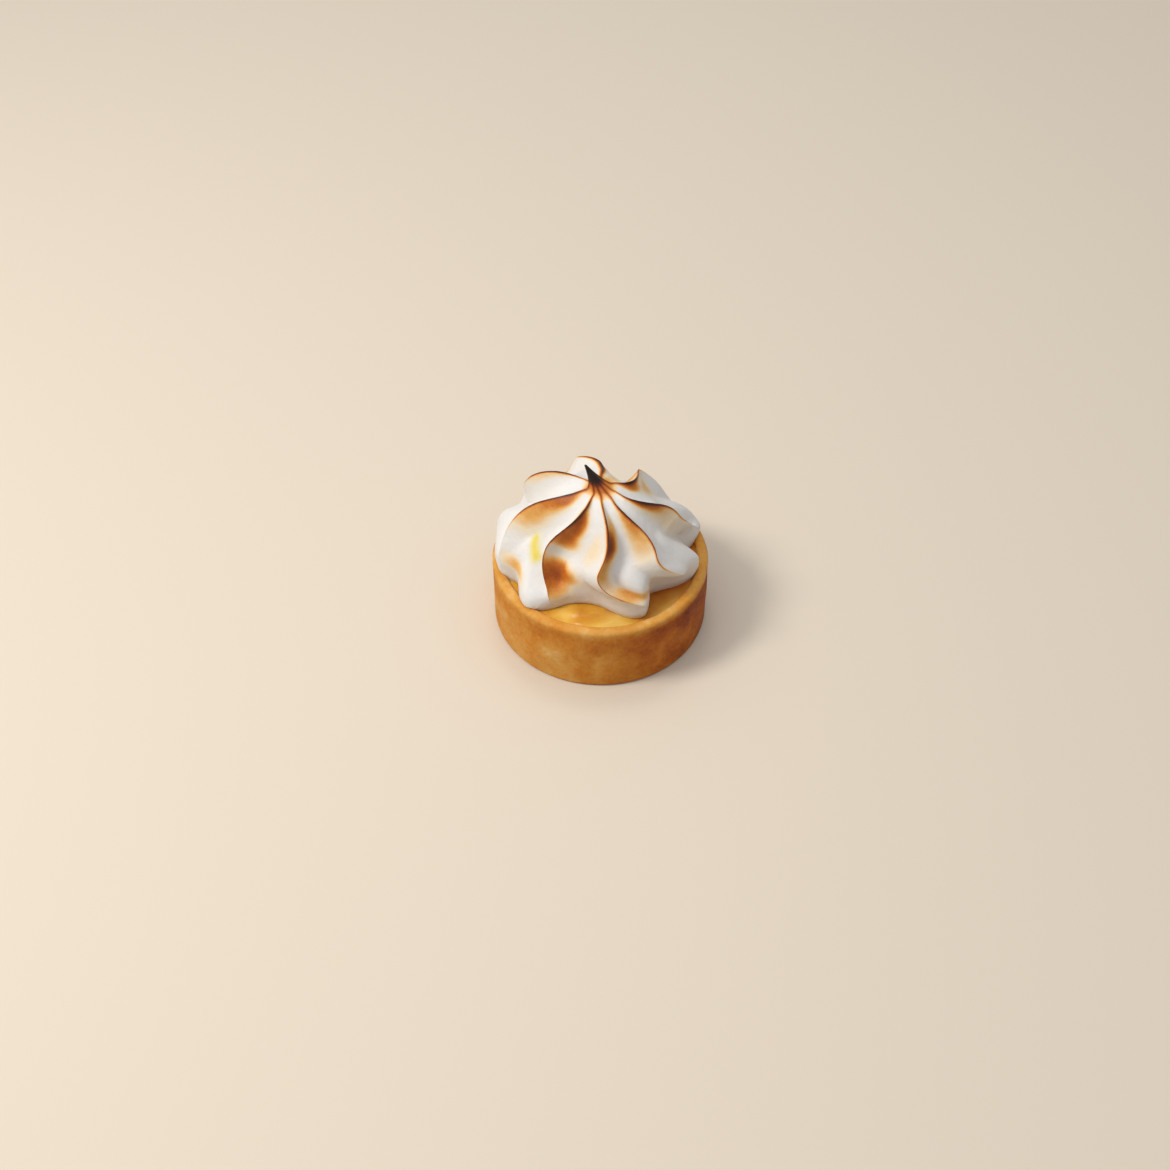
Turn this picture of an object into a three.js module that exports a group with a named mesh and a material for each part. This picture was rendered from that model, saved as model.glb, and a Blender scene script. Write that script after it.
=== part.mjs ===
// Lemon meringue tartlet: a straight-sided pastry shell, its lemon curd filling, and one big piped
// meringue kiss with eight toasted ridges that run from a leaning peak down to the rim.
// Millimetres, +Z up. The origin is the centre of the flat underside, and -Y is the front.
import * as THREE from 'three';
import { LoftGeometry } from 'three/addons/geometries/LoftGeometry.js';

// ---- Driving dimensions (mm) ----
const SHELL_RADIUS = 30;
const SHELL_HEIGHT = 21.4;
const WALL = 3.2;
const FLOOR = 3;
const RIM_ROUNDING = 1.1;
const FOOT_ROUNDING = 0.9;
const GAP = 0.3; // clearance between neighbouring solids

// The baked wall swells and sinks a little between rim and foot, by these waves round the shell:
// their size in mm, how many go round, the slant in radians for each mm of height, and the phase.
const WALL_WAVES = [
  { size: 0.13, count: 3, slant: 0.25, phase: 0 },
  { size: 0.09, count: 7, slant: -0.4, phase: 1 },
];

const CURD_EDGE_DROP = 1.0; // the curd's edge lies this far below the rim
const CURD_CROWN = 0.3; // and its middle rises this far above its edge

const CROWN_HEIGHT = 26; // from the rim up to where the ridges meet
const TOE_TUCK = 0.9; // the toe, below the ends of the ridges, draws in by this in a round curve
const PEAK_HEIGHT = 5.5;
const PEAK_TIP = new THREE.Vector2(-4.1, 2.2); // the peak leans left and a little back
const PEAK_TIP_RADIUS = 0.35;
const PEAK_NARROWING = 0.75; // under 1 the peak narrows most at its root
const PEAK_FLARE = 1.6; // and over 1 it rises and leans least there
const HUB = 0.1; // the share of a ridge that the root of the peak takes up

// The ridges, anticlockwise from the left back. From hub to toe a ridge leaves the hub at its azimuth,
// sways to both sides (sway and phase) and curls round near its toe, all in degrees. Reach is the
// radius that it heads for, foot its end's height above the rim, and lift how far its middle stands
// above a round dome, all in mm.
const RIDGES = [
  { azimuth: 148.1, sway: 2.3, phase: -109, curl: -7.0, reach: 28.0, foot: 2.5, lift: 2.5 }, // left back
  { azimuth: 189.4, sway: 5.6, phase: 76, curl: 0.3, reach: 29.3, foot: 2.5, lift: -0.2 }, // left
  { azimuth: 230.0, sway: 10.4, phase: 43, curl: -3.3, reach: 24.3, foot: 0.2, lift: -1.3 }, // front left
  { azimuth: 271.3, sway: 7.2, phase: -39, curl: 28.0, reach: 26.9, foot: 2.5, lift: -1.3 }, // front
  { azimuth: 307.2, sway: 6.7, phase: -103, curl: 34.0, reach: 27.7, foot: 2.5, lift: -0.3 }, // front right
  { azimuth: 341.2, sway: 11.8, phase: -142, curl: 43.8, reach: 26.2, foot: 2.5, lift: 2.1 }, // right
  { azimuth: 396.6, sway: 18.3, phase: -131, curl: 21.0, reach: 25.3, foot: 2.5, lift: -0.5 }, // right back
  { azimuth: 455.0, sway: 10.7, phase: -140, curl: 21.6, reach: 29.3, foot: 2.5, lift: -0.7 }, // back
];

// The valley that follows each ridge: its depth in mm, how far across its deepest line lies (0.5 is
// the middle), from the hub down and at the toe, and how far its end dips below the ridges' ends, in mm.
const VALLEYS = [
  { depth: 6.5, line: 0.5, toeLine: 0.5, dip: 0 },
  { depth: 4.6, line: 0.6, toeLine: 0.6, dip: 0 },
  { depth: 6.0, line: 0.36, toeLine: 0.36, dip: 0 },
  { depth: 5.5, line: 0.36, toeLine: 0.36, dip: 0 },
  { depth: 4.8, line: 0.42, toeLine: 0.74, dip: 2.4 },
  { depth: 5.0, line: 0.45, toeLine: 0.45, dip: 1.0 },
  { depth: 8.5, line: 0.5, toeLine: 0.65, dip: 1.6 },
  { depth: 6.0, line: 0.5, toeLine: 0.6, dip: 0.8 },
];

// The tips and notches of the toe's outline: azimuth in degrees and radius in mm.
const TOE_OUTLINE = [
  { azimuth: 18, radius: 28.6 },
  { azimuth: 38, radius: 25.5 },
  { azimuth: 57, radius: 27.0 },
  { azimuth: 86, radius: 24.5 },
  { azimuth: 112, radius: 28.0 },
  { azimuth: 127, radius: 25.8 },
  { azimuth: 139, radius: 27.4 },
  { azimuth: 147, radius: 26.6 },
  { azimuth: 157, radius: 29.6 },
  { azimuth: 172, radius: 28.5 },
  { azimuth: 195, radius: 27.9 },
  { azimuth: 206, radius: 24.6 },
  { azimuth: 226, radius: 27.8 },
  { azimuth: 245, radius: 19.5 },
  { azimuth: 268, radius: 18.5 },
  { azimuth: 296, radius: 25.3 },
  { azimuth: 312, radius: 19.5 },
  { azimuth: 347, radius: 26.8 },
  { azimuth: 359, radius: 22.2 },
];

const SWAY_WAVELENGTH = 0.9; // of a ridge's sway, as a share of the ridge
const SWAY_START = 0.2; // by this share of the ridge the sway is at full strength
const CURL_START = 0.6;
const TOE_START = 0.85; // from this share on a ridge turns to the toe's outline
const VALLEY_TOE_START = 0.5; // and from this share on the middle of a valley does
const VALLEY_FULL = 0.6; // by this share of the ridge the valleys are at full depth
const LINE_TURN_START = 0.45; // and from here to there their deepest lines turn to the toe's
const LINE_TURN_END = 0.85;
const DIP_START = 0.6; // from this share on they dip
const VALLEY_FLATNESS = 2.3; // over 2 the bottom of a valley is flatter than an arc
const VALLEY_SHARPNESS = 0.85; // under 1 the valleys meet in sharp ridges
const ROUNDING_START = 0.8; // from this share of the ridge on its crest grows round

// ---- Fineness ----
const SHELL_SEGMENTS = 72;
const SHELL_ROWS = 5; // up the outside, between its rounded corners
const CORNER_STEPS = 4;
const CURD_SEGMENTS = 48;
const CURD_ROWS = 6; // from the edge of its top to the middle
const POINTS_PER_VALLEY = 12;
const RIDGE_STEPS = 28;
const TOE_STEPS = 3;
const CREST_CROWDING = 0.6; // over 0 the points lie closer together near the crests
const PEAK_STEPS = 6;
const SAME_PLACE = 0.01; // two points nearer than this are one

// ---- Small helpers ----
const { degToRad, euclideanModulo, lerp, radToDeg, smoothstep } = THREE.MathUtils;

// The points of a quarter turn of the given radius, for the rounded corners of a profile.
function corner(centreX, centreY, radius, fromDegrees) {
  const arc = new THREE.EllipseCurve(
    centreX,
    centreY,
    radius,
    radius,
    degToRad(fromDegrees),
    degToRad(fromDegrees + 90),
  );
  return arc.getPoints(CORNER_STEPS);
}

// ---- Pastry shell ----
const CAVITY_RADIUS = SHELL_RADIUS - WALL;

// How far the outside of the wall swells (or sinks, below 0) at an angle and a height.
function wallSwell(angle, height) {
  const away = Math.sin((Math.PI * height) / SHELL_HEIGHT); // none at the rim and at the foot
  let swell = 0;
  for (const wave of WALL_WAVES)
    swell += wave.size * Math.sin(wave.count * angle + wave.slant * height + wave.phase);
  return swell * away;
}

function shellGeometry() {
  const outside = [];
  const low = FOOT_ROUNDING;
  const high = SHELL_HEIGHT - RIM_ROUNDING;
  for (let row = 1; row < SHELL_ROWS; row++)
    outside.push(new THREE.Vector2(SHELL_RADIUS, lerp(low, high, row / SHELL_ROWS)));
  const profile = [
    new THREE.Vector2(0, 0),
    ...corner(SHELL_RADIUS - FOOT_ROUNDING, FOOT_ROUNDING, FOOT_ROUNDING, -90),
    ...outside,
    ...corner(SHELL_RADIUS - RIM_ROUNDING, high, RIM_ROUNDING, 0),
    ...corner(CAVITY_RADIUS + RIM_ROUNDING, high, RIM_ROUNDING, 90),
    new THREE.Vector2(CAVITY_RADIUS, FLOOR),
    new THREE.Vector2(0, FLOOR),
  ];
  const geometry = new THREE.LatheGeometry(profile, SHELL_SEGMENTS);
  geometry.rotateX(Math.PI / 2); // the lathe turns about +Y, the tartlet stands along +Z
  const position = geometry.getAttribute('position');
  for (let i = 0; i < position.count; i++) {
    const x = position.getX(i);
    const y = position.getY(i);
    const radius = Math.hypot(x, y);
    if (radius < SHELL_RADIUS - SAME_PLACE) continue; // only the outside moves
    const scale = 1 + wallSwell(Math.atan2(y, x), position.getZ(i)) / radius;
    position.setXY(i, x * scale, y * scale);
  }
  return geometry;
}

// ---- Lemon curd ----
function curdTop(radius) {
  const inward = 1 - radius / CAVITY_RADIUS;
  return SHELL_HEIGHT - CURD_EDGE_DROP + CURD_CROWN * Math.sin((inward * Math.PI) / 2);
}

function curdGeometry() {
  const edge = CAVITY_RADIUS - GAP;
  const profile = [new THREE.Vector2(0, FLOOR + GAP), new THREE.Vector2(edge, FLOOR + GAP)];
  for (let row = 0; row <= CURD_ROWS; row++) {
    const radius = edge * (1 - row / CURD_ROWS);
    profile.push(new THREE.Vector2(radius, curdTop(radius)));
  }
  const geometry = new THREE.LatheGeometry(profile, CURD_SEGMENTS);
  geometry.rotateX(Math.PI / 2);
  return geometry;
}

// ---- Meringue ----
// A ridge's crest at share t of its way from the hub to the toe.
function crest(ridge, t) {
  const fall = (t * Math.PI) / 2;
  const swing = Math.sin((2 * Math.PI * t) / SWAY_WAVELENGTH + degToRad(ridge.phase));
  return {
    angle: degToRad(
      ridge.azimuth +
        ridge.sway * swing * smoothstep(t, 0, SWAY_START) +
        ridge.curl * smoothstep(t, CURL_START, 1),
    ),
    radius: ridge.reach * Math.sin(fall),
    height:
      lerp(ridge.foot, CROWN_HEIGHT, Math.cos(fall)) + ridge.lift * Math.sin(Math.PI * t) ** 2,
  };
}

// How deep the surface lies between two crests, from 0 on either crest to 1 at the valley's deepest
// line. Sharp crests are cusps between two hollows, and round ones are soft waves.
function hollow(across, line, roundness) {
  const warped = across ** (Math.log(0.5) / Math.log(line));
  const sharp = (1 - Math.abs(2 * warped - 1) ** VALLEY_FLATNESS) ** VALLEY_SHARPNESS;
  return lerp(sharp, Math.sin(Math.PI * warped) ** 2, roundness);
}

// The toe's radius at an angle, on a smooth curve through its tips and notches.
function toeOutline(angle) {
  const degrees = euclideanModulo(radToDeg(angle), 360);
  const count = TOE_OUTLINE.length;
  const after = TOE_OUTLINE.filter((point) => point.azimuth <= degrees).length;
  // two points on either side, of which some may lie a turn before or after the others
  const [first, from, to, last] = [-2, -1, 0, 1].map((step) => {
    const { azimuth, radius } = TOE_OUTLINE[euclideanModulo(after + step, count)];
    return { azimuth: azimuth + 360 * Math.floor((after + step) / count), radius };
  });
  const slopeFrom = (to.radius - first.radius) / (to.azimuth - first.azimuth);
  const slopeTo = (last.radius - from.radius) / (last.azimuth - from.azimuth);
  const width = to.azimuth - from.azimuth;
  const share = (degrees - from.azimuth) / width;
  const bend = share * (1 - share) * width * ((1 - share) * slopeFrom - share * slopeTo);
  return lerp(from.radius, to.radius, smoothstep(share, 0, 1)) + bend;
}

// The surface between two ridges: across runs from 0 on the first crest to 1 on the next.
function meringuePoint(index, across, t) {
  const next = (index + 1) % RIDGES.length;
  const turn = next === 0 ? 2 * Math.PI : 0;
  const from = crest(RIDGES[index], t);
  const to = crest(RIDGES[next], t);
  const valley = VALLEYS[index];
  const line = lerp(valley.line, valley.toeLine, smoothstep(t, LINE_TURN_START, LINE_TURN_END));
  const hollowed = hollow(across, line, smoothstep(t, ROUNDING_START, 1));
  const scoop = valley.depth * smoothstep(t, 0, VALLEY_FULL) * hollowed;
  const dip = valley.dip * smoothstep(t, DIP_START, 1) * hollowed;
  const angle = lerp(from.angle, to.angle + turn, across);
  const fall = (t * Math.PI) / 2;
  const swept = lerp(from.radius, to.radius, across) - scoop * Math.sin(fall);
  const start = lerp(TOE_START, VALLEY_TOE_START, Math.sin(Math.PI * across) ** 2);
  return {
    angle,
    radius: lerp(swept, toeOutline(angle) + TOE_TUCK, smoothstep(t, start, 1)),
    height: lerp(from.height, to.height, across) - scoop * Math.cos(fall) - dip,
  };
}

// Height above the rim of what the meringue lies on: the curd, or the shell's rim.
function seatTop(radius) {
  const curd = curdTop(Math.min(radius, CAVITY_RADIUS)) - SHELL_HEIGHT;
  return lerp(curd, 0, smoothstep(radius, CAVITY_RADIUS - 0.3, CAVITY_RADIUS + 0.5));
}

// A closed ring of points round the whole meringue, each placed by place(index, across), and all
// moved sideways by shift. They lie closest together at the crests.
function ring(place, shift = new THREE.Vector2()) {
  const points = [];
  for (let index = 0; index < RIDGES.length; index++)
    for (let step = 0; step < POINTS_PER_VALLEY; step++) {
      const even = step / POINTS_PER_VALLEY;
      const across = lerp(even, 0.5 - 0.5 * Math.cos(Math.PI * even), CREST_CROWDING);
      const { angle, radius, height } = place(index, across);
      const x = radius * Math.cos(angle) + shift.x;
      const y = radius * Math.sin(angle) + shift.y;
      points.push(new THREE.Vector3(x, y, SHELL_HEIGHT + height));
    }
  return points;
}

function meringueGeometry() {
  const rings = [];
  // the toe at share down of its way from the ends of the ridges to its foot
  const rounded = (index, across, down) => {
    const end = meringuePoint(index, across, 1);
    const turn = (down * Math.PI) / 2;
    const radius = end.radius - TOE_TUCK * (1 - Math.cos(turn));
    const height = lerp(end.height, seatTop(radius) + GAP, Math.sin(turn));
    return { angle: end.angle, radius, height };
  };
  // the rounded toe, from its foot up to the ends of the ridges
  for (let step = 0; step < TOE_STEPS; step++)
    rings.push(ring((index, across) => rounded(index, across, 1 - step / TOE_STEPS)));
  // the ridges and valleys, from toe to hub
  for (let step = 0; step <= RIDGE_STEPS; step++) {
    const t = lerp(1, HUB, step / RIDGE_STEPS);
    rings.push(ring((index, across) => meringuePoint(index, across, t)));
  }
  // the peak, narrowing and leaning over as it rises
  for (let step = 1; step <= PEAK_STEPS; step++) {
    const inward = step / PEAK_STEPS;
    const rise = inward ** PEAK_FLARE;
    const narrowing = inward ** PEAK_NARROWING;
    const narrowed = (index, across) => {
      const root = meringuePoint(index, across, HUB);
      return {
        angle: root.angle,
        radius: lerp(root.radius, PEAK_TIP_RADIUS, narrowing),
        height: lerp(root.height, CROWN_HEIGHT + PEAK_HEIGHT, rise),
      };
    };
    rings.push(ring(narrowed, PEAK_TIP.clone().multiplyScalar(rise)));
  }
  return new LoftGeometry(rings, { capStart: true, capEnd: true });
}

// ---- Scene graph ----
const pastry = new THREE.MeshStandardMaterial({ color: 0xc58a4a, roughness: 0.75, metalness: 0 });
const curd = new THREE.MeshStandardMaterial({ color: 0xe3a52e, roughness: 0.25, metalness: 0 });
const meringue = new THREE.MeshStandardMaterial({ color: 0xf3ece2, roughness: 0.6, metalness: 0 });

function piece(name, geometry, material) {
  const mesh = new THREE.Mesh(geometry, material);
  mesh.name = name;
  return mesh;
}

const tartlet = new THREE.Group();
tartlet.add(piece('crust', shellGeometry(), pastry));
tartlet.add(piece('lemon_curd', curdGeometry(), curd));
tartlet.add(piece('meringue', meringueGeometry(), meringue));

export default tartlet;
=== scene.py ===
"""Lemon meringue tartlet: a baked pastry shell filled with lemon curd, under one big piped meringue
whose ridges and peak were torched.

Lengths in the tables below are millimetres. Meshes are made in metres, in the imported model's frame:
+Z up, the origin at the centre of the underside, -Y the front.
"""

import math

import bpy
import numpy as np
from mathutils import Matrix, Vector, noise


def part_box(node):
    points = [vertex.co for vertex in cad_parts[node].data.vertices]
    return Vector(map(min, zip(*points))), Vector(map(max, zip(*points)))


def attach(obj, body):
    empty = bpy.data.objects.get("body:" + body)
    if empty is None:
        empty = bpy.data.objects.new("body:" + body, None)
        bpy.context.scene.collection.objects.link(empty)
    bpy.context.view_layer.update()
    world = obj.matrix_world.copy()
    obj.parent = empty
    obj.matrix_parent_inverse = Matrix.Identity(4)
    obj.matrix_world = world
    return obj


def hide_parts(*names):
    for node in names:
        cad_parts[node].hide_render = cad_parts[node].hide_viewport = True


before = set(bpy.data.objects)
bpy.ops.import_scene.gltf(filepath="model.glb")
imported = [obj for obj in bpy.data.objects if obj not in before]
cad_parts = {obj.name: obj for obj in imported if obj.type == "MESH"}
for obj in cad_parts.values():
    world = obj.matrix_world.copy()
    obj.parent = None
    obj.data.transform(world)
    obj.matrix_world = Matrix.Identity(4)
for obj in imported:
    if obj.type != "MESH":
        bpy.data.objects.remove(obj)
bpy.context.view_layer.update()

MM = 0.001  # metres in a millimetre

# ---- Shell and curd ----
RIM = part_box("crust")[1].z / MM  # height of the rim
SHELL_RADIUS = 30.0
WALL = 3.2
FLOOR = 3.0
RIM_ROUNDING = 1.1
FOOT_ROUNDING = 0.9
CAVITY_RADIUS = SHELL_RADIUS - WALL
CURD_EDGE_DROP = 1.0  # the curd's edge lies this far below the rim
CURD_CROWN = 0.3  # and its middle rises this far above its edge
BITE = 0.1  # pieces that touch reach this far into each other

# The baked wall swells and sinks a little between rim and foot, by these waves round the shell:
# their size in mm, how many go round, the slant in radians for each mm of height, and the phase.
WALL_WAVES = [
    dict(size=0.13, count=3, slant=0.25, phase=0.0),
    dict(size=0.09, count=7, slant=-0.4, phase=1.0),
]

# ---- Meringue ----
CROWN_HEIGHT = 26.0  # from the rim up to where the ridges meet
TOE_TUCK = 0.9  # the toe, below the ends of the ridges, draws in by this in a round curve
PEAK_HEIGHT = 5.5
PEAK_TIP = (-4.1, 2.2)  # the peak leans left and a little back
PEAK_TIP_RADIUS = 0.35
PEAK_NARROWING = 0.75  # under 1 the peak narrows most at its root
PEAK_FLARE = 1.6  # and over 1 it rises and leans least there
HUB = 0.1  # the share of a ridge that the root of the peak takes up

# The ridges, anticlockwise from the left back. From hub to toe a ridge leaves the hub at its azimuth,
# sways to both sides (sway and phase) and curls round near its toe, all in degrees. Reach is the
# radius that it heads for, foot its end's height above the rim, and lift how far its middle stands
# above a round dome, all in mm.
RIDGES = [
    dict(azimuth=148.1, sway=2.3, phase=-109, curl=-7.0, reach=28.0, foot=2.5, lift=2.5),  # left back
    dict(azimuth=189.4, sway=5.6, phase=76, curl=0.3, reach=29.3, foot=2.5, lift=-0.2),  # left
    dict(azimuth=230.0, sway=10.4, phase=43, curl=-3.3, reach=24.3, foot=0.2, lift=-1.3),  # front left
    dict(azimuth=271.3, sway=7.2, phase=-39, curl=28.0, reach=26.9, foot=2.5, lift=-1.3),  # front
    dict(azimuth=307.2, sway=6.7, phase=-103, curl=34.0, reach=27.7, foot=2.5, lift=-0.3),  # front right
    dict(azimuth=341.2, sway=11.8, phase=-142, curl=43.8, reach=26.2, foot=2.5, lift=2.1),  # right
    dict(azimuth=396.6, sway=18.3, phase=-131, curl=21.0, reach=25.3, foot=2.5, lift=-0.5),  # right back
    dict(azimuth=455.0, sway=10.7, phase=-140, curl=21.6, reach=29.3, foot=2.5, lift=-0.7),  # back
]
LEFT_BACK, LEFT, FRONT_LEFT, FRONT, FRONT_RIGHT, RIGHT, RIGHT_BACK, BACK = range(8)

# The valley that follows each ridge: its depth in mm, how far across its deepest line lies (0.5 is the
# middle), from the hub down and at the toe, and how far its end dips below the ridges' ends, in mm.
VALLEYS = [
    dict(depth=6.5, line=0.5, toe_line=0.5, dip=0.0),
    dict(depth=4.6, line=0.6, toe_line=0.6, dip=0.0),
    dict(depth=6.0, line=0.36, toe_line=0.36, dip=0.0),
    dict(depth=5.5, line=0.36, toe_line=0.36, dip=0.0),
    dict(depth=4.8, line=0.42, toe_line=0.74, dip=2.4),
    dict(depth=5.0, line=0.45, toe_line=0.45, dip=1.0),
    dict(depth=8.5, line=0.5, toe_line=0.65, dip=1.6),
    dict(depth=6.0, line=0.5, toe_line=0.6, dip=0.8),
]

# The tips and notches of the toe's outline, as azimuth in degrees and radius in mm.
TOE_OUTLINE = [
    (18, 28.6),
    (38, 25.5),
    (57, 27.0),
    (86, 24.5),
    (112, 28.0),
    (127, 25.8),
    (139, 27.4),
    (147, 26.6),
    (157, 29.6),
    (172, 28.5),
    (195, 27.9),
    (206, 24.6),
    (226, 27.8),
    (245, 19.5),
    (268, 18.5),
    (296, 25.3),
    (312, 19.5),
    (347, 26.8),
    (359, 22.2),
]

# Where things start and end, as shares of a ridge's way from hub to toe.
SWAY_FULL = 0.2  # by this share the sway is at full strength
SWAY_WAVELENGTH = 0.9
CURL_START = 0.6
TOE_START = 0.85  # from this share on a ridge turns to the toe's outline
VALLEY_TOE_START = 0.5  # and from this share on the middle of a valley does
VALLEY_FULL = 0.6  # by this share the valleys are at full depth
LINE_TURN = (0.45, 0.85)  # between these shares their deepest lines turn to the toe's
DIP_START = 0.6  # and from this share on they dip
ROUNDING_START = 0.8  # from this share on a crest grows round

VALLEY_FLATNESS = 2.3  # over 2 the bottom of a valley is flatter than an arc
VALLEY_SHARPNESS = 0.85  # under 1 the valleys meet in sharp ridges

# ---- Flame, a yellow streak, and painted shade round the toe ----
# How far each crest was charred by the flame: the line's half width in mm, the share of the ridge at
# which it has faded out, and where it is widest and by how much.
CHAR = [
    dict(width=0.32, fade=0.85, thick_at=0.30, extra=0.10),
    dict(width=0.36, fade=0.80, thick_at=0.16, extra=0.25),
    dict(width=0.36, fade=0.97, thick_at=0.28, extra=0.56),
    dict(width=0.50, fade=1.02, thick_at=0.38, extra=0.45),
    dict(width=0.46, fade=0.92, thick_at=0.25, extra=0.15),
    dict(width=0.40, fade=0.90, thick_at=0.34, extra=0.45),
    dict(width=0.40, fade=0.75, thick_at=0.24, extra=0.75),
    dict(width=0.40, fade=0.80, thick_at=0.24, extra=0.70),
]

# Where the flame browned each valley: the middle of a patch across and down the valley, its half width
# and half length in the same shares, and how brown it is (0.3 golden, 0.5 orange brown, 0.75 dark).
TOAST = {
    LEFT_BACK: [
        (0.97, 0.22, 0.07, 0.12, 0.35),
        (0.02, 0.40, 0.05, 0.25, 0.18),
    ],
    LEFT: [
        (0.10, 0.24, 0.28, 0.13, 0.40),
        (0.20, 0.22, 0.14, 0.07, 0.22),
        (0.04, 0.45, 0.32, 0.17, 0.33),
        (0.30, 0.86, 0.25, 0.06, 0.28),
    ],
    FRONT_LEFT: [
        (0.10, 0.32, 0.26, 0.11, 0.56),
        (0.05, 0.46, 0.34, 0.07, 0.42),
        (0.19, 0.72, 0.34, 0.10, 0.48),
        (0.03, 0.83, 0.20, 0.11, 0.42),
        (0.75, 0.46, 0.16, 0.12, 0.13),
    ],
    FRONT: [
        (0.06, 0.42, 0.22, 0.10, 0.68),
        (0.20, 0.30, 0.20, 0.09, 0.26),
        (0.06, 0.60, 0.16, 0.16, 0.30),
        (0.86, 0.40, 0.22, 0.20, 0.27),
        (0.92, 0.30, 0.14, 0.10, 0.20),
        (0.24, 0.86, 0.26, 0.07, 0.27),
        (0.06, 0.84, 0.14, 0.09, 0.16),
    ],
    FRONT_RIGHT: [
        (0.94, 0.35, 0.11, 0.13, 0.42),
        (0.88, 0.46, 0.20, 0.22, 0.15),
    ],
    RIGHT: [
        (0.80, 0.24, 0.18, 0.09, 0.46),
        (0.72, 0.48, 0.20, 0.14, 0.24),
    ],
    RIGHT_BACK: [
        (0.50, 0.14, 0.35, 0.07, 0.20),
        (0.15, 0.50, 0.20, 0.16, 0.42),
    ],
    BACK: [
        (0.10, 0.80, 0.24, 0.12, 0.30),
        (0.90, 0.56, 0.16, 0.20, 0.34),
    ],
}
CHAR_BULGE = 0.13  # half the length of a char line's widest place, as a share of the ridge
CHAR_FADE = 0.35  # and the share over which the line fades out at its end
CHAR_LEVELS = (0.74, 0.96)  # how black a line is, and how black its widest place is
HUB_BROWN = 0.44  # how brown the hub is, and between which shares of the ridges that fades out
HUB_FADE = (0.6 * HUB, 1.3 * HUB)
PEAK_BROWN = 0.93  # the same for the peak
PEAK_FADE = (0.3 * HUB, 0.65 * HUB)
# A yellow streak on the left valley: from one point of it to another,
# each across and down, and its half width.
YELLOW_STREAK = dict(start=(0.45, 0.59), end=(0.66, 0.70), width=0.085)
DOWN_FOR_ACROSS = 2.4  # a share down a valley is this many times as long as one across it
# Painted shade, dark amber, on the curd round the meringue's toe, where the meringue shades it. Most of it
# is on the right, from the first x to the second, in mm, where the curd lies in shade. On the left it lies
# in patches.
TOE_SHADE_RIGHT = (6, 16)
TOE_SHADE_REACH = (2.2, 5.5)  # how far it spreads from the toe at the left and at the right, in mm
TOE_SHADE_LEVEL = 0.85  # how amber it is at the toe
SHADE_PATCH_SIZE = 5.0
SHADE_PATCH_LEVEL = 0.7  # how full of it the patches are

# ---- Unevenness ----
# Noise that moves a surface along its normal: the size of its swells and how far they reach, in mm.
MERINGUE_NOISE = [(7.0, 0.16), (2.4, 0.05), (0.9, 0.015)]
CRUST_NOISE = [(9.0, 0.10), (3.5, 0.07), (1.3, 0.05), (0.6, 0.025)]
# The ripples of the spread curd: their height, their size from left to right and from front to back,
# and how far from the shell they start to fade out.
RIPPLE_HEIGHT = 0.45
RIPPLE_SIZE = (4.5, 2.8125)
RIPPLE_MARGIN = 1.5

# ---- Fineness ----
POINTS_PER_VALLEY = 48
RIDGE_STEPS = 240
TOE_STEPS = 16
PEAK_STEPS = 36
NEARBY_RINGS = 40  # how many rings up and down the nearest point of a crest is looked for
SHELL_SEGMENTS = 480
WALL_STEPS = 52
CORNER_STEPS = 10
CURD_SEGMENTS = 240
CURD_STEPS = 80


# ---- Small helpers ----
def lerp(low, high, share):
    return low + (high - low) * share


def smoothstep(value, low, high):
    share = np.clip((value - low) / (high - low), 0, 1)
    return share * share * (3 - 2 * share)


def piece(name, surface, material, node):
    """A smooth mesh of rings in mm that stands for a CAD node and rides on the one body."""
    mesh = bpy.data.meshes.new(name)
    mesh.from_pydata((closed_by_centres(surface) * MM).tolist(), [], ring_faces(*surface.shape[:2]))
    mesh.shade_smooth()
    mesh.materials.append(material)
    made = bpy.data.objects.new(name, mesh)
    bpy.context.scene.collection.objects.link(made)
    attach(made, "root")
    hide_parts(node)
    return made


def ring_faces(ring_count, ring_size):
    """Quads between rings of points that follow each other, and a fan on a last point at either end."""
    faces = []
    for ring in range(ring_count - 1):
        first, second = ring * ring_size, (ring + 1) * ring_size
        for i in range(ring_size):
            after = (i + 1) % ring_size
            faces.append((first + i, first + after, second + after, second + i))
    start, end = ring_count * ring_size, ring_count * ring_size + 1
    last = (ring_count - 1) * ring_size
    for i in range(ring_size):
        after = (i + 1) % ring_size
        faces.append((start, after, i))
        faces.append((end, last + i, last + after))
    return faces


def closed_by_centres(surface):
    """The rings' points in one list, with the middle of the first ring and of the last one added."""
    return np.concatenate([*surface, [surface[0].mean(0)], [surface[-1].mean(0)]])


def noise_at(points):
    """Smooth noise, from -1 to 1, at points [..., 3] that are given in sizes of its swells."""
    values = [noise.noise(Vector(point)) for point in points.reshape(-1, 3)]
    return np.array(values).reshape(points.shape[:-1])


def unevenness(surface, octaves):
    """Swells of several sizes on top of each other, in mm, at points [ring, place]."""
    return sum(reach * noise_at(surface / size) for size, reach in octaves)


def outward(surface):
    """Unit normals of the surface through points [ring, place], rising from ring to ring."""
    along = np.gradient(surface, axis=0)
    around = np.roll(surface, -1, axis=1) - np.roll(surface, 1, axis=1)
    normal = np.cross(around, along)
    return normal / np.maximum(np.linalg.norm(normal, axis=2, keepdims=True), 1e-9)


def write_attribute(made, name, values):
    made.data.attributes.new(name, "FLOAT", "POINT").data.foreach_set("value", values.astype(np.float32))


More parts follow.
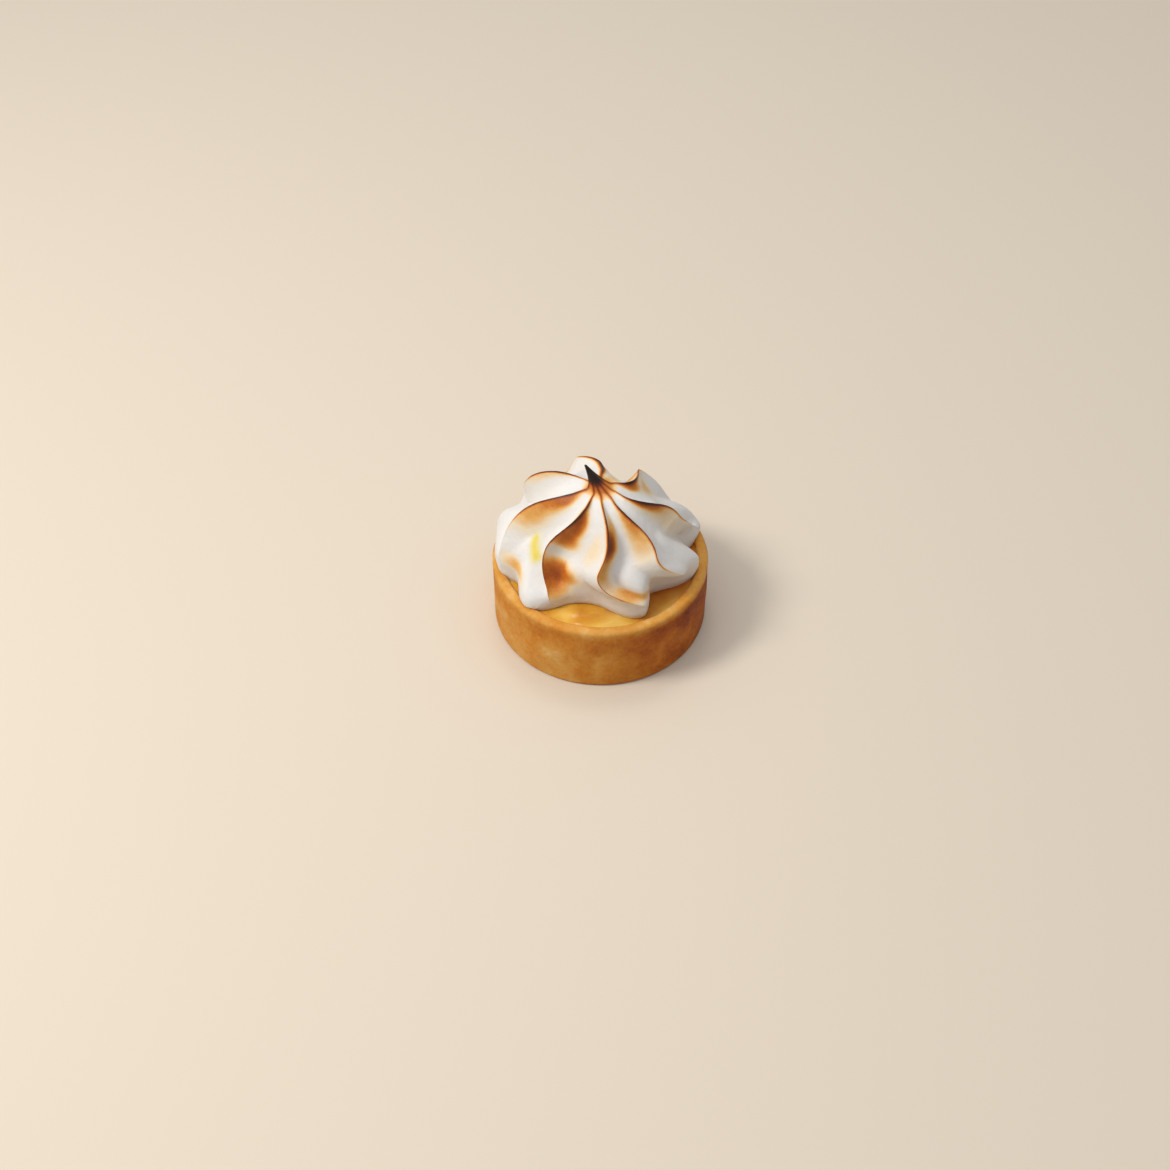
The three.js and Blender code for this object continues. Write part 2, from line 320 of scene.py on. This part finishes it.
# ---- Meringue ----
def crest(ridge, t):
    """Angle, radius and height above the rim of a ridge's crest at shares t of its way from hub to toe."""
    fall = t * np.pi / 2
    swing = np.sin(2 * np.pi * t / SWAY_WAVELENGTH + math.radians(ridge["phase"]))
    turn = ridge["sway"] * swing * smoothstep(t, 0, SWAY_FULL)
    curl = ridge["curl"] * smoothstep(t, CURL_START, 1)
    angle = np.radians(ridge["azimuth"] + turn + curl)
    dome = ridge["foot"] + (CROWN_HEIGHT - ridge["foot"]) * np.cos(fall)
    return angle, ridge["reach"] * np.sin(fall), dome + ridge["lift"] * np.sin(np.pi * t) ** 2


def hollow(across, line, roundness):
    """How deep the surface lies between two crests, from 0 on either to 1 on the valley's deepest line."""
    warped = across ** (np.log(0.5) / np.log(line))
    sharp = (1 - np.abs(2 * warped - 1) ** VALLEY_FLATNESS) ** VALLEY_SHARPNESS
    return lerp(sharp, np.sin(np.pi * warped) ** 2, roundness)


def toe_outline(angle):
    """The toe's radius at an angle, on a smooth curve through its tips and notches."""
    count = len(TOE_OUTLINE)
    turns = range(-count, 2 * count)  # the outline once more before and after itself
    azimuth = np.array([TOE_OUTLINE[i % count][0] + 360 * (i // count) for i in turns], float)
    radius = np.array([TOE_OUTLINE[i % count][1] for i in turns])
    slope = (np.roll(radius, -1) - np.roll(radius, 1)) / (np.roll(azimuth, -1) - np.roll(azimuth, 1))
    degrees = np.degrees(angle) % 360
    before = np.searchsorted(azimuth, degrees, side="right") - 1
    after = before + 1
    width = azimuth[after] - azimuth[before]
    u = (degrees - azimuth[before]) / width
    bend = u * (1 - u) * width * ((1 - u) * slope[before] - u * slope[after])
    return lerp(radius[before], radius[after], u * u * (3 - 2 * u)) + bend


def meringue_surface(index, across, t):
    """Angle, radius and height above the rim between a ridge and the next, across from 0 to 1."""
    after = (index + 1) % len(RIDGES)
    full_turn = 2 * np.pi if after == 0 else 0
    angle_from, radius_from, height_from = crest(RIDGES[index], t)
    angle_to, radius_to, height_to = crest(RIDGES[after], t)
    valley = VALLEYS[index]
    roundness = smoothstep(t, ROUNDING_START, 1)
    line = lerp(valley["line"], valley["toe_line"], smoothstep(t, *LINE_TURN))
    hollowed = hollow(across, line, roundness)
    scoop = valley["depth"] * smoothstep(t, 0, VALLEY_FULL) * hollowed
    dip = valley["dip"] * smoothstep(t, DIP_START, 1) * hollowed
    angle = lerp(angle_from, angle_to + full_turn, across)
    fall = t * np.pi / 2
    radius = lerp(radius_from, radius_to, across) - scoop * np.sin(fall)
    start = lerp(TOE_START, VALLEY_TOE_START, np.sin(np.pi * across) ** 2)
    radius = lerp(radius, toe_outline(angle) + TOE_TUCK, smoothstep(t, start, 1))
    return angle, radius, lerp(height_from, height_to, across) - scoop * np.cos(fall) - dip


def seat_top(radius):
    """Height above the rim of what the meringue lies on, at a radius: the curd, then the shell's rim."""
    curd = curd_top(np.minimum(radius, CAVITY_RADIUS)) - RIM
    return lerp(curd, 0, smoothstep(radius, CAVITY_RADIUS - 0.3, CAVITY_RADIUS + 0.5))


def placed(angle, radius, height, shift=(0, 0)):
    """Points in mm at angles, radii and heights above the rim, moved sideways by a shift."""
    x = radius * np.cos(angle) + shift[0]
    y = radius * np.sin(angle) + shift[1]
    return np.stack([x, y, np.broadcast_to(RIM + height, x.shape)], -1)


def valley_spacing():
    """Shares across a valley, closest together at its crests, without the crest where the next begins."""
    return 0.5 - 0.5 * np.cos(np.pi * np.arange(POINTS_PER_VALLEY) / POINTS_PER_VALLEY)


def whole_ring(t):
    """Angle, radius and height of a ring round the whole meringue."""
    across = valley_spacing()
    parts = [meringue_surface(index, across, np.full_like(across, t)) for index in range(len(RIDGES))]
    return [np.concatenate(values) for values in zip(*parts)]


def meringue_rings():
    """The rings from the underside up to the peak's tip, and each ring's share t of the ridges."""
    rings, shares = [], []
    angle, radius, height = whole_ring(1.0)
    for down in np.linspace(1, 0, TOE_STEPS, endpoint=False):
        turn = down * np.pi / 2
        out = radius - TOE_TUCK * (1 - np.cos(turn))
        rings.append(placed(angle, out, lerp(height, seat_top(out) - BITE, np.sin(turn))))
        shares.append(1.0)
    for t in np.linspace(1, HUB, RIDGE_STEPS + 1):
        rings.append(placed(*whole_ring(t)))
        shares.append(t)
    angle, radius, height = whole_ring(HUB)
    for inward in np.linspace(0, 1, PEAK_STEPS + 1)[1:]:
        rise = inward**PEAK_FLARE
        shift = [place * rise for place in PEAK_TIP]
        narrow = lerp(radius, PEAK_TIP_RADIUS, inward**PEAK_NARROWING)
        tall = lerp(height, CROWN_HEIGHT + PEAK_HEIGHT, rise)
        rings.append(placed(angle, narrow, tall, shift))
        shares.append(HUB * (1 - inward))
    return np.stack(rings), np.array(shares)


def distance_to(points, line):
    """Distance of points [ring, place] from the nearest of a crest's points on rings near their own."""
    nearest = np.full(points.shape[:2], np.inf)
    own = np.arange(len(line))
    for step in range(-NEARBY_RINGS, NEARBY_RINGS + 1):
        moved = line[np.clip(own + step, 0, len(line) - 1)]
        nearest = np.minimum(nearest, np.linalg.norm(points - moved[:, None], axis=2))
    return nearest


def char_line(points, line, shares, char):
    """How black the flame left the points round one crest, 0 to 1."""
    bulge = np.exp(-(((shares - char["thick_at"]) / CHAR_BULGE) ** 2))
    # a line grows thinner and paler towards its end
    left = 1 - smoothstep(shares, char["fade"] - CHAR_FADE, char["fade"])
    width = (char["width"] + char["extra"] * bulge) * lerp(0.5, 1, left)
    black = np.exp(-((distance_to(points, line) / width[:, None]) ** 2))
    # and the lines are paler where they meet
    apart = lerp(0.6, 1, smoothstep(shares, HUB * 0.7, HUB * 2))
    return black * (lerp(*CHAR_LEVELS, bulge) * left * apart)[:, None]


def browned(surface, shares):
    """How brown each point [ring, place] of the meringue is, from 0 for white to 1 for black."""
    across = valley_spacing()
    down = shares[:, None]
    brown = np.zeros(surface.shape[:2])
    for index in range(len(RIDGES)):
        after = (index + 1) % len(RIDGES)
        block = slice(index * POINTS_PER_VALLEY, (index + 1) * POINTS_PER_VALLEY)
        clear = np.ones((len(shares), POINTS_PER_VALLEY))
        for at_across, at_down, half_width, half_length, level in TOAST[index]:
            away = ((across - at_across) / half_width) ** 2 + ((down - at_down) / half_length) ** 2
            clear *= 1 - level * np.exp(-(away**1.5))
        for ridge in (index, after):
            line = surface[:, ridge * POINTS_PER_VALLEY]
            clear *= 1 - char_line(surface[:, block], line, shares, CHAR[ridge])
        brown[:, block] = 1 - clear
    hub = HUB_BROWN * (1 - smoothstep(down, *HUB_FADE))
    peak = PEAK_BROWN * (1 - smoothstep(down, *PEAK_FADE))
    return 1 - (1 - brown) * (1 - hub) * (1 - peak)


def yellow_streak(shares):
    """How yellow the streak makes each point [ring, place], 0 to 1."""
    start, end = (np.array(YELLOW_STREAK[key]) * (1, DOWN_FOR_ACROSS) for key in ("start", "end"))
    place = np.stack(np.meshgrid(valley_spacing(), shares * DOWN_FOR_ACROSS), -1) - start
    along = np.clip(place @ (end - start) / ((end - start) @ (end - start)), 0, 1)
    away = np.linalg.norm(place - along[..., None] * (end - start), axis=2)
    streak = np.zeros((len(shares), len(RIDGES) * POINTS_PER_VALLEY))
    block = slice(LEFT * POINTS_PER_VALLEY, (LEFT + 1) * POINTS_PER_VALLEY)
    streak[:, block] = np.exp(-((away / YELLOW_STREAK["width"]) ** 2))
    return streak


def build_meringue(material):
    surface, shares = meringue_rings()
    strength = smoothstep(shares, 0, HUB * 2)[:, None]  # the slender peak stays as it is
    moved = surface + outward(surface) * (unevenness(surface, MERINGUE_NOISE) * strength)[..., None]
    made = piece("meringue_kiss", moved, material, "meringue")
    write_attribute(made, "brown", np.concatenate([browned(surface, shares).ravel(), [0, 1]]))
    write_attribute(made, "lemon", np.concatenate([yellow_streak(shares).ravel(), [0, 0]]))
    return made


# ---- Lemon curd ----
def curd_top(radius):
    """Height of the curd's top at a radius: a flat crown inside the shell."""
    inward = 1 - radius / CAVITY_RADIUS
    return RIM - CURD_EDGE_DROP + CURD_CROWN * np.sin(inward * np.pi / 2)


def curd_rings():
    """The rings from the underside over the edge to the middle of the top."""
    angle = np.linspace(0, 2 * np.pi, CURD_SEGMENTS, endpoint=False)
    outer = CAVITY_RADIUS + BITE
    profile = [(outer * share, FLOOR - BITE) for share in (0.5, 1)]
    for share in np.linspace(1, 0.02, CURD_STEPS):
        profile.append((outer * share, curd_top(min(outer * share, CAVITY_RADIUS))))
    return np.stack([placed(angle, radius, height - RIM) for radius, height in profile])


def ripples(surface):
    """How far the curd's points [ring, place] rise, in mm: only those of its top, inside its edge."""
    rising = RIPPLE_HEIGHT * np.maximum(noise_at(surface / (*RIPPLE_SIZE, np.inf)), 0)
    radius = np.linalg.norm(surface[..., :2], axis=2)
    inside = 1 - smoothstep(radius, CAVITY_RADIUS - RIPPLE_MARGIN, CAVITY_RADIUS)
    on_top = surface[..., 2] > RIM - 2 * CURD_EDGE_DROP
    return rising * inside * on_top


def painted_toe_shade(points):
    """How much painted shade, dark amber, lies on each point of the curd round the meringue's toe, 0 to 1.
    """
    toe = toe_outline(np.arctan2(points[:, 1], points[:, 0]))
    gap = np.maximum(np.linalg.norm(points[:, :2], axis=1) - toe, 0)
    rightward = smoothstep(points[:, 0], *TOE_SHADE_RIGHT)
    patches = SHADE_PATCH_LEVEL * smoothstep(noise_at(points / SHADE_PATCH_SIZE), 0, 0.4)
    reach = lerp(*TOE_SHADE_REACH, rightward)
    return TOE_SHADE_LEVEL * np.maximum(rightward, patches) * np.exp(-gap / reach)


def build_curd(material):
    surface = curd_rings()
    surface[..., 2] += ripples(surface)
    made = piece("curd_filling", surface, material, "lemon_curd")
    write_attribute(made, "amber", painted_toe_shade(closed_by_centres(surface)))
    return made


# ---- Pastry shell ----
def wall_swell(angle, height):
    """How far the baked wall stands out, in mm: not at all at rim and foot."""
    swell = np.zeros_like(angle)
    for wave in WALL_WAVES:
        turn = wave["count"] * angle + wave["slant"] * height + wave["phase"]
        swell += wave["size"] * np.sin(turn)
    return swell * np.sin(np.pi * height / RIM)


def corner(centre_radius, centre_height, size, from_degrees):
    """A quarter of a circle as radius and height, anticlockwise."""
    turns = np.radians(np.linspace(from_degrees, from_degrees + 90, CORNER_STEPS))
    return [(centre_radius + size * math.cos(a), centre_height + size * math.sin(a)) for a in turns]


def crust_profile():
    """Radius and height from the underside up the wall, over the rim and down to the shell's floor."""
    high = RIM - RIM_ROUNDING
    profile = [(SHELL_RADIUS * share, 0) for share in (0.1, 0.5, 0.9)]
    profile += corner(SHELL_RADIUS - FOOT_ROUNDING, FOOT_ROUNDING, FOOT_ROUNDING, -90)
    profile += [(SHELL_RADIUS, height) for height in np.linspace(FOOT_ROUNDING, high, WALL_STEPS)[1:-1]]
    profile += corner(SHELL_RADIUS - RIM_ROUNDING, high, RIM_ROUNDING, 0)
    profile += corner(CAVITY_RADIUS + RIM_ROUNDING, high, RIM_ROUNDING, 90)
    profile += [(CAVITY_RADIUS, height) for height in (high - 2, FLOOR)]
    profile += [(CAVITY_RADIUS * share, FLOOR) for share in (0.5, 0.05)]
    return profile


def build_crust(material):
    angle = np.linspace(0, 2 * np.pi, SHELL_SEGMENTS, endpoint=False)
    rings = []
    for radius, height in crust_profile():
        out = wall_swell(angle, height) if radius > SHELL_RADIUS - 0.01 else 0
        rings.append(placed(angle, radius + out, height - RIM))
    surface = np.stack(rings)
    strength = smoothstep(surface[..., 2], 0, FOOT_ROUNDING * 2)  # the foot stays flat on the ground
    moved = surface + outward(surface) * (unevenness(surface, CRUST_NOISE) * strength)[..., None]
    return piece("pastry_shell", moved, material, "crust")


# ---- Materials ----
def seen(red, green, blue):
    """A display colour, 0 to 255, as the linear colour that nodes take."""
    def linear(value):
        value /= 255
        return value / 12.92 if value <= 0.04045 else ((value + 0.055) / 1.055) ** 2.4
    return (linear(red), linear(green), linear(blue), 1)


def set_ramp(node, stops):
    """A colour ramp's stops, each a position and a colour."""
    elements = node.color_ramp.elements
    elements[0].position, elements[0].color = stops[0]
    elements[1].position, elements[1].color = stops[-1]
    for position, colour in stops[1:-1]:
        elements.new(position).color = colour


# The Mix node has sockets of the same names for numbers, vectors and colours, so these are the places
# of its factor and its two colours, and of the colour that comes out.
MIX_COLOUR_INPUTS = (0, 6, 7)
MIX_COLOUR_OUTPUT = 2


class Shader:
    """A material's node tree with short calls for the nodes used here."""

    def __init__(self, name, **uniform):
        self.material = bpy.data.materials.new(name)
        self.material.use_nodes = True
        self.nodes = self.material.node_tree.nodes
        self.links = self.material.node_tree.links
        self.surface = self.nodes["Principled BSDF"]
        for socket, value in uniform.items():
            self.surface.inputs[socket.replace("_", " ")].default_value = value

    def give(self, socket, value):
        """A value for a socket, or a link to it where the value comes out of another node."""
        if isinstance(value, bpy.types.NodeSocket):
            self.links.new(value, socket)
        else:
            socket.default_value = value

    def put(self, kind, sockets=None, **settings):
        """A new node with its settings, and with what its sockets are given."""
        node = self.nodes.new(kind)
        for key, value in settings.items():
            setattr(node, key, value)
        for socket, value in (sockets or {}).items():
            self.give(node.inputs[socket], value)
        return node

    def attribute(self, name):
        return self.put("ShaderNodeAttribute", attribute_name=name).outputs["Fac"]

    def place(self):
        return self.put("ShaderNodeTexCoord").outputs["Object"]

    def speckle(self, size, detail=3.0, roughness=0.55):
        """Noise from about 0 to 1 with swells of the given size in mm."""
        sockets = {
            "Vector": self.place(),
            "Scale": 1 / (size * MM),
            "Detail": detail,
            "Roughness": roughness,
        }
        return self.put("ShaderNodeTexNoise", sockets).outputs["Fac"]

    def calculate(self, operation, *values):
        """What a Math node makes of its values."""
        node = self.put("ShaderNodeMath", operation=operation)
        for socket, value in zip(node.inputs, values):
            self.give(socket, value)
        return node.outputs[0]

    def spread(self, value, low, high, to_low=0.0, to_high=1.0):
        """A value's range from low to high stretched to another, with soft ends."""
        sockets = {"Value": value, "From Min": low, "From Max": high, "To Min": to_low, "To Max": to_high}
        return self.put("ShaderNodeMapRange", sockets, interpolation_type="SMOOTHSTEP").outputs["Result"]

    def ramp(self, value, stops):
        """The colour that a value has on a colour ramp."""
        node = self.put("ShaderNodeValToRGB", {"Fac": value})
        set_ramp(node, stops)
        return node.outputs["Color"]

    def mix(self, share, first, second):
        """Two colours mixed, with this share of the second."""
        node = self.put("ShaderNodeMix", data_type="RGBA")
        for index, value in zip(MIX_COLOUR_INPUTS, (share, first, second)):
            self.give(node.inputs[index], value)
        return node.outputs[MIX_COLOUR_OUTPUT]

    def bump(self, height, distance, strength=1.0, under=None):
        """A bump of a height in mm, on top of another where one is given."""
        sockets = {"Height": height, "Distance": distance * MM, "Strength": strength}
        if under is not None:
            sockets["Normal"] = under
        return self.put("ShaderNodeBump", sockets).outputs["Normal"]

    def feed(self, socket, value):
        """Links a value to a socket of the surface."""
        self.links.new(value, self.surface.inputs[socket])


def meringue_material():
    shader = Shader("meringue", Subsurface_Weight=0.3, Subsurface_Scale=1.0 * MM, Specular_IOR_Level=0.4)
    shader.surface.inputs["Subsurface Radius"].default_value = (1.0, 0.8, 0.65)
    brown = shader.attribute("brown")
    blotch = shader.calculate("SUBTRACT", shader.speckle(2.2, 4.0, 0.6), 0.5)
    grain = shader.calculate("SUBTRACT", shader.speckle(0.45), 0.5)
    # blotches and grain show most where the meringue is half browned
    half = shader.calculate("MULTIPLY", brown, shader.calculate("SUBTRACT", 1.15, brown))
    uneven = shader.calculate("MULTIPLY_ADD", grain, 0.25, shader.calculate("MULTIPLY", blotch, 0.6))
    noisy = shader.calculate("MULTIPLY_ADD", uneven, half, brown)
    stops = [
        (0.0, seen(225, 220, 213)),
        (0.12, seen(232, 212, 180)),
        (0.28, seen(228, 172, 92)),
        (0.44, seen(200, 114, 30)),
        (0.60, seen(154, 70, 8)),
        (0.76, seen(88, 34, 8)),
        (0.92, seen(34, 16, 10)),
    ]
    toasted = shader.ramp(noisy, stops)
    colour = shader.mix(shader.attribute("lemon"), toasted, seen(225, 204, 80))
    shader.feed("Base Color", colour)
    shader.feed("Roughness", shader.spread(noisy, 0.1, 0.8, 0.58, 0.42))
    soft = shader.bump(shader.speckle(1.6, 2.0), 0.12)
    shader.feed("Normal", shader.bump(grain, 0.05, under=soft))
    return shader.material


def curd_material():
    shader = Shader(
        "lemon_curd",
        Roughness=0.2,
        IOR=1.42,
        Subsurface_Weight=0.35,
        Subsurface_Scale=2.5 * MM,
    )
    shader.surface.inputs["Subsurface Radius"].default_value = (1.0, 0.6, 0.12)
    stops = [
        (0.34, seen(206, 140, 40)),
        (0.50, seen(216, 160, 60)),
        (0.64, seen(228, 184, 90)),
    ]
    curd = shader.ramp(shader.speckle(8.0, 1.0), stops)
    # painted shade: the curd turns dark amber round the meringue's toe and on the right, where it lies in
    # shade
    shader.feed("Base Color", shader.mix(shader.attribute("amber"), curd, seen(176, 70, 0)))
    shader.feed("Normal", shader.bump(shader.speckle(3.0, 2.0), 0.1))
    return shader.material


def crust_material():
    shader = Shader("pastry", Specular_IOR_Level=0.3)
    place = shader.put("ShaderNodeSeparateXYZ", {"Vector": shader.place()}).outputs
    blotch = shader.speckle(7.0, 4.0, 0.6)
    fine = shader.speckle(1.1, 4.0, 0.65)
    mottled = shader.calculate("MULTIPLY_ADD", blotch, 0.56, 0.045)
    baking_and_painted_shade = shader.calculate("MULTIPLY_ADD", fine, 0.18, mottled)
    # baked darker below the rim, and darker towards the right with painted shade on the wall's side turned
    # from the light; the rim's top is left out of both and stays paler
    below_rim = shader.spread(place["Z"], (RIM - 11) * MM, (RIM - 3) * MM, 0.0, 0.11)
    # painted shade: the wall darkens from the left to the right, away from the key light
    painted_shade_on_right = shader.spread(place["X"], -0.5 * SHELL_RADIUS * MM, SHELL_RADIUS * MM, 0.0, 0.29)
    on_wall = shader.spread(place["Z"], (RIM - 3.2) * MM, (RIM - 0.4) * MM, 1.0, 0.0)
    baking_and_painted_shade = shader.calculate("MULTIPLY_ADD", shader.calculate("ADD", below_rim, painted_shade_on_right), on_wall, baking_and_painted_shade)
    stops = [
        (0.24, seen(226, 184, 122)),
        (0.38, seen(214, 154, 70)),
        (0.51, seen(204, 130, 38)),
        (0.66, seen(184, 98, 14)),
        (0.79, seen(150, 68, 5)),
        (0.93, seen(118, 46, 3)),
    ]
    shader.feed("Base Color", shader.ramp(baking_and_painted_shade, stops))
    shader.feed("Roughness", shader.spread(fine, 0.3, 0.7, 0.62, 0.8))
    crumb = shader.bump(shader.speckle(0.9, 5.0, 0.7), 0.14)
    shader.feed("Normal", shader.bump(shader.speckle(0.28, 2.0), 0.04, under=crumb))
    return shader.material


# ---- Stage ----
GROUND_SIZE = 6  # metres from side to side


def build_floor():
    bpy.ops.mesh.primitive_plane_add(size=GROUND_SIZE, location=(0, 0, 0))
    floor = bpy.context.object
    floor.name = "floor"
    ground = Shader("pale_floor", Base_Color=seen(214, 199, 178), Roughness=0.9)
    floor.data.materials.append(ground.material)


# Round softboxes: azimuth in degrees anticlockwise from +X, elevation, size in m, power in W and
# colour. The key comes from the left and a little from the front. The gleam, high at the back, is
# there for the shine on the curd.
LIGHTS = {
    "key": dict(azimuth=194, elevation=51, size=0.22, power=3.6, colour=(1.0, 0.98, 0.95)),
    "gleam": dict(azimuth=95, elevation=70, size=0.2, power=0.5, colour=(1.0, 0.99, 0.97)),
}
LIGHT_DISTANCE = 0.8


def build_lights():
    for name, light in LIGHTS.items():
        lamp = bpy.data.lights.new(name, "AREA")
        lamp.shape = "DISK"
        lamp.size = light["size"]
        lamp.energy = light["power"]
        lamp.color = light["colour"]
        placed_lamp = bpy.data.objects.new(name, lamp)
        bpy.context.scene.collection.objects.link(placed_lamp)
        a, e = math.radians(light["azimuth"]), math.radians(light["elevation"])
        towards = Vector((math.cos(a) * math.cos(e), math.sin(a) * math.cos(e), math.sin(e)))
        placed_lamp.location = towards * LIGHT_DISTANCE
        placed_lamp.rotation_euler = towards.to_track_quat("Z", "Y").to_euler()


# The soft light from all round: its linear colour at the horizon and below, a good quarter of the way
# up, and overhead, each with the height of its direction, 0 to 1. It is strongest at the left.
SKY = [
    (0.0, (0.10, 0.085, 0.07, 1)),
    (0.45, (0.17, 0.16, 0.15, 1)),
    (1.0, (1.20, 1.28, 1.40, 1)),
]
SKY_AT_LEFT = 1.22
SKY_AT_RIGHT = 0.88


def build_surroundings():
    """Soft light from all round, most of it from above and the left, in front of a pale backdrop."""
    world = bpy.data.worlds.new("studio")
    world.use_nodes = True
    nodes, links = world.node_tree.nodes, world.node_tree.links
    direction = nodes.new("ShaderNodeSeparateXYZ")
    links.new(nodes.new("ShaderNodeTexCoord").outputs["Generated"], direction.inputs[0])
    sky = nodes.new("ShaderNodeValToRGB")
    set_ramp(sky, SKY)
    links.new(direction.outputs["Z"], sky.inputs["Fac"])
    soft = nodes["Background"]
    links.new(sky.outputs["Color"], soft.inputs["Color"])
    sideways = nodes.new("ShaderNodeMapRange")
    links.new(direction.outputs["X"], sideways.inputs["Value"])
    sideways.inputs["From Min"].default_value = -1
    sideways.inputs["To Min"].default_value = SKY_AT_LEFT
    sideways.inputs["To Max"].default_value = SKY_AT_RIGHT
    links.new(sideways.outputs["Result"], soft.inputs["Strength"])
    backdrop = nodes.new("ShaderNodeBackground")
    backdrop.inputs["Color"].default_value = seen(232, 228, 222)
    choice = nodes.new("ShaderNodeMixShader")
    links.new(nodes.new("ShaderNodeLightPath").outputs["Is Camera Ray"], choice.inputs["Fac"])
    links.new(soft.outputs[0], choice.inputs[1])
    links.new(backdrop.outputs[0], choice.inputs[2])
    links.new(choice.outputs[0], nodes["World Output"].inputs["Surface"])
    return world


# The photograph's camera, which looks along +Y and down at a target.
CAMERA_ELEVATION = 47.0  # degrees above the horizon
CAMERA_DISTANCE = 0.5
CAMERA_TARGET = Vector((-0.00426, 0.00806, 0))
CAMERA_LENS = 52.92  # focal length and sensor width in mm
CAMERA_SENSOR = 36


def build_camera():
    data = bpy.data.cameras.new("camera")
    data.lens = CAMERA_LENS
    data.sensor_width = CAMERA_SENSOR
    data.clip_start = 0.02
    camera = bpy.data.objects.new("camera", data)
    bpy.context.scene.collection.objects.link(camera)
    e = math.radians(CAMERA_ELEVATION)
    camera.location = CAMERA_TARGET + CAMERA_DISTANCE * Vector((0, -math.cos(e), math.sin(e)))
    camera.rotation_euler = (math.pi / 2 - e, 0, 0)
    bpy.context.scene.camera = camera
    bpy.context.scene.view_settings.view_transform = "Standard"


build_camera()
build_lights()
bpy.context.scene.world = build_surroundings()
build_floor()
build_meringue(meringue_material())
build_curd(curd_material())
build_crust(crust_material())
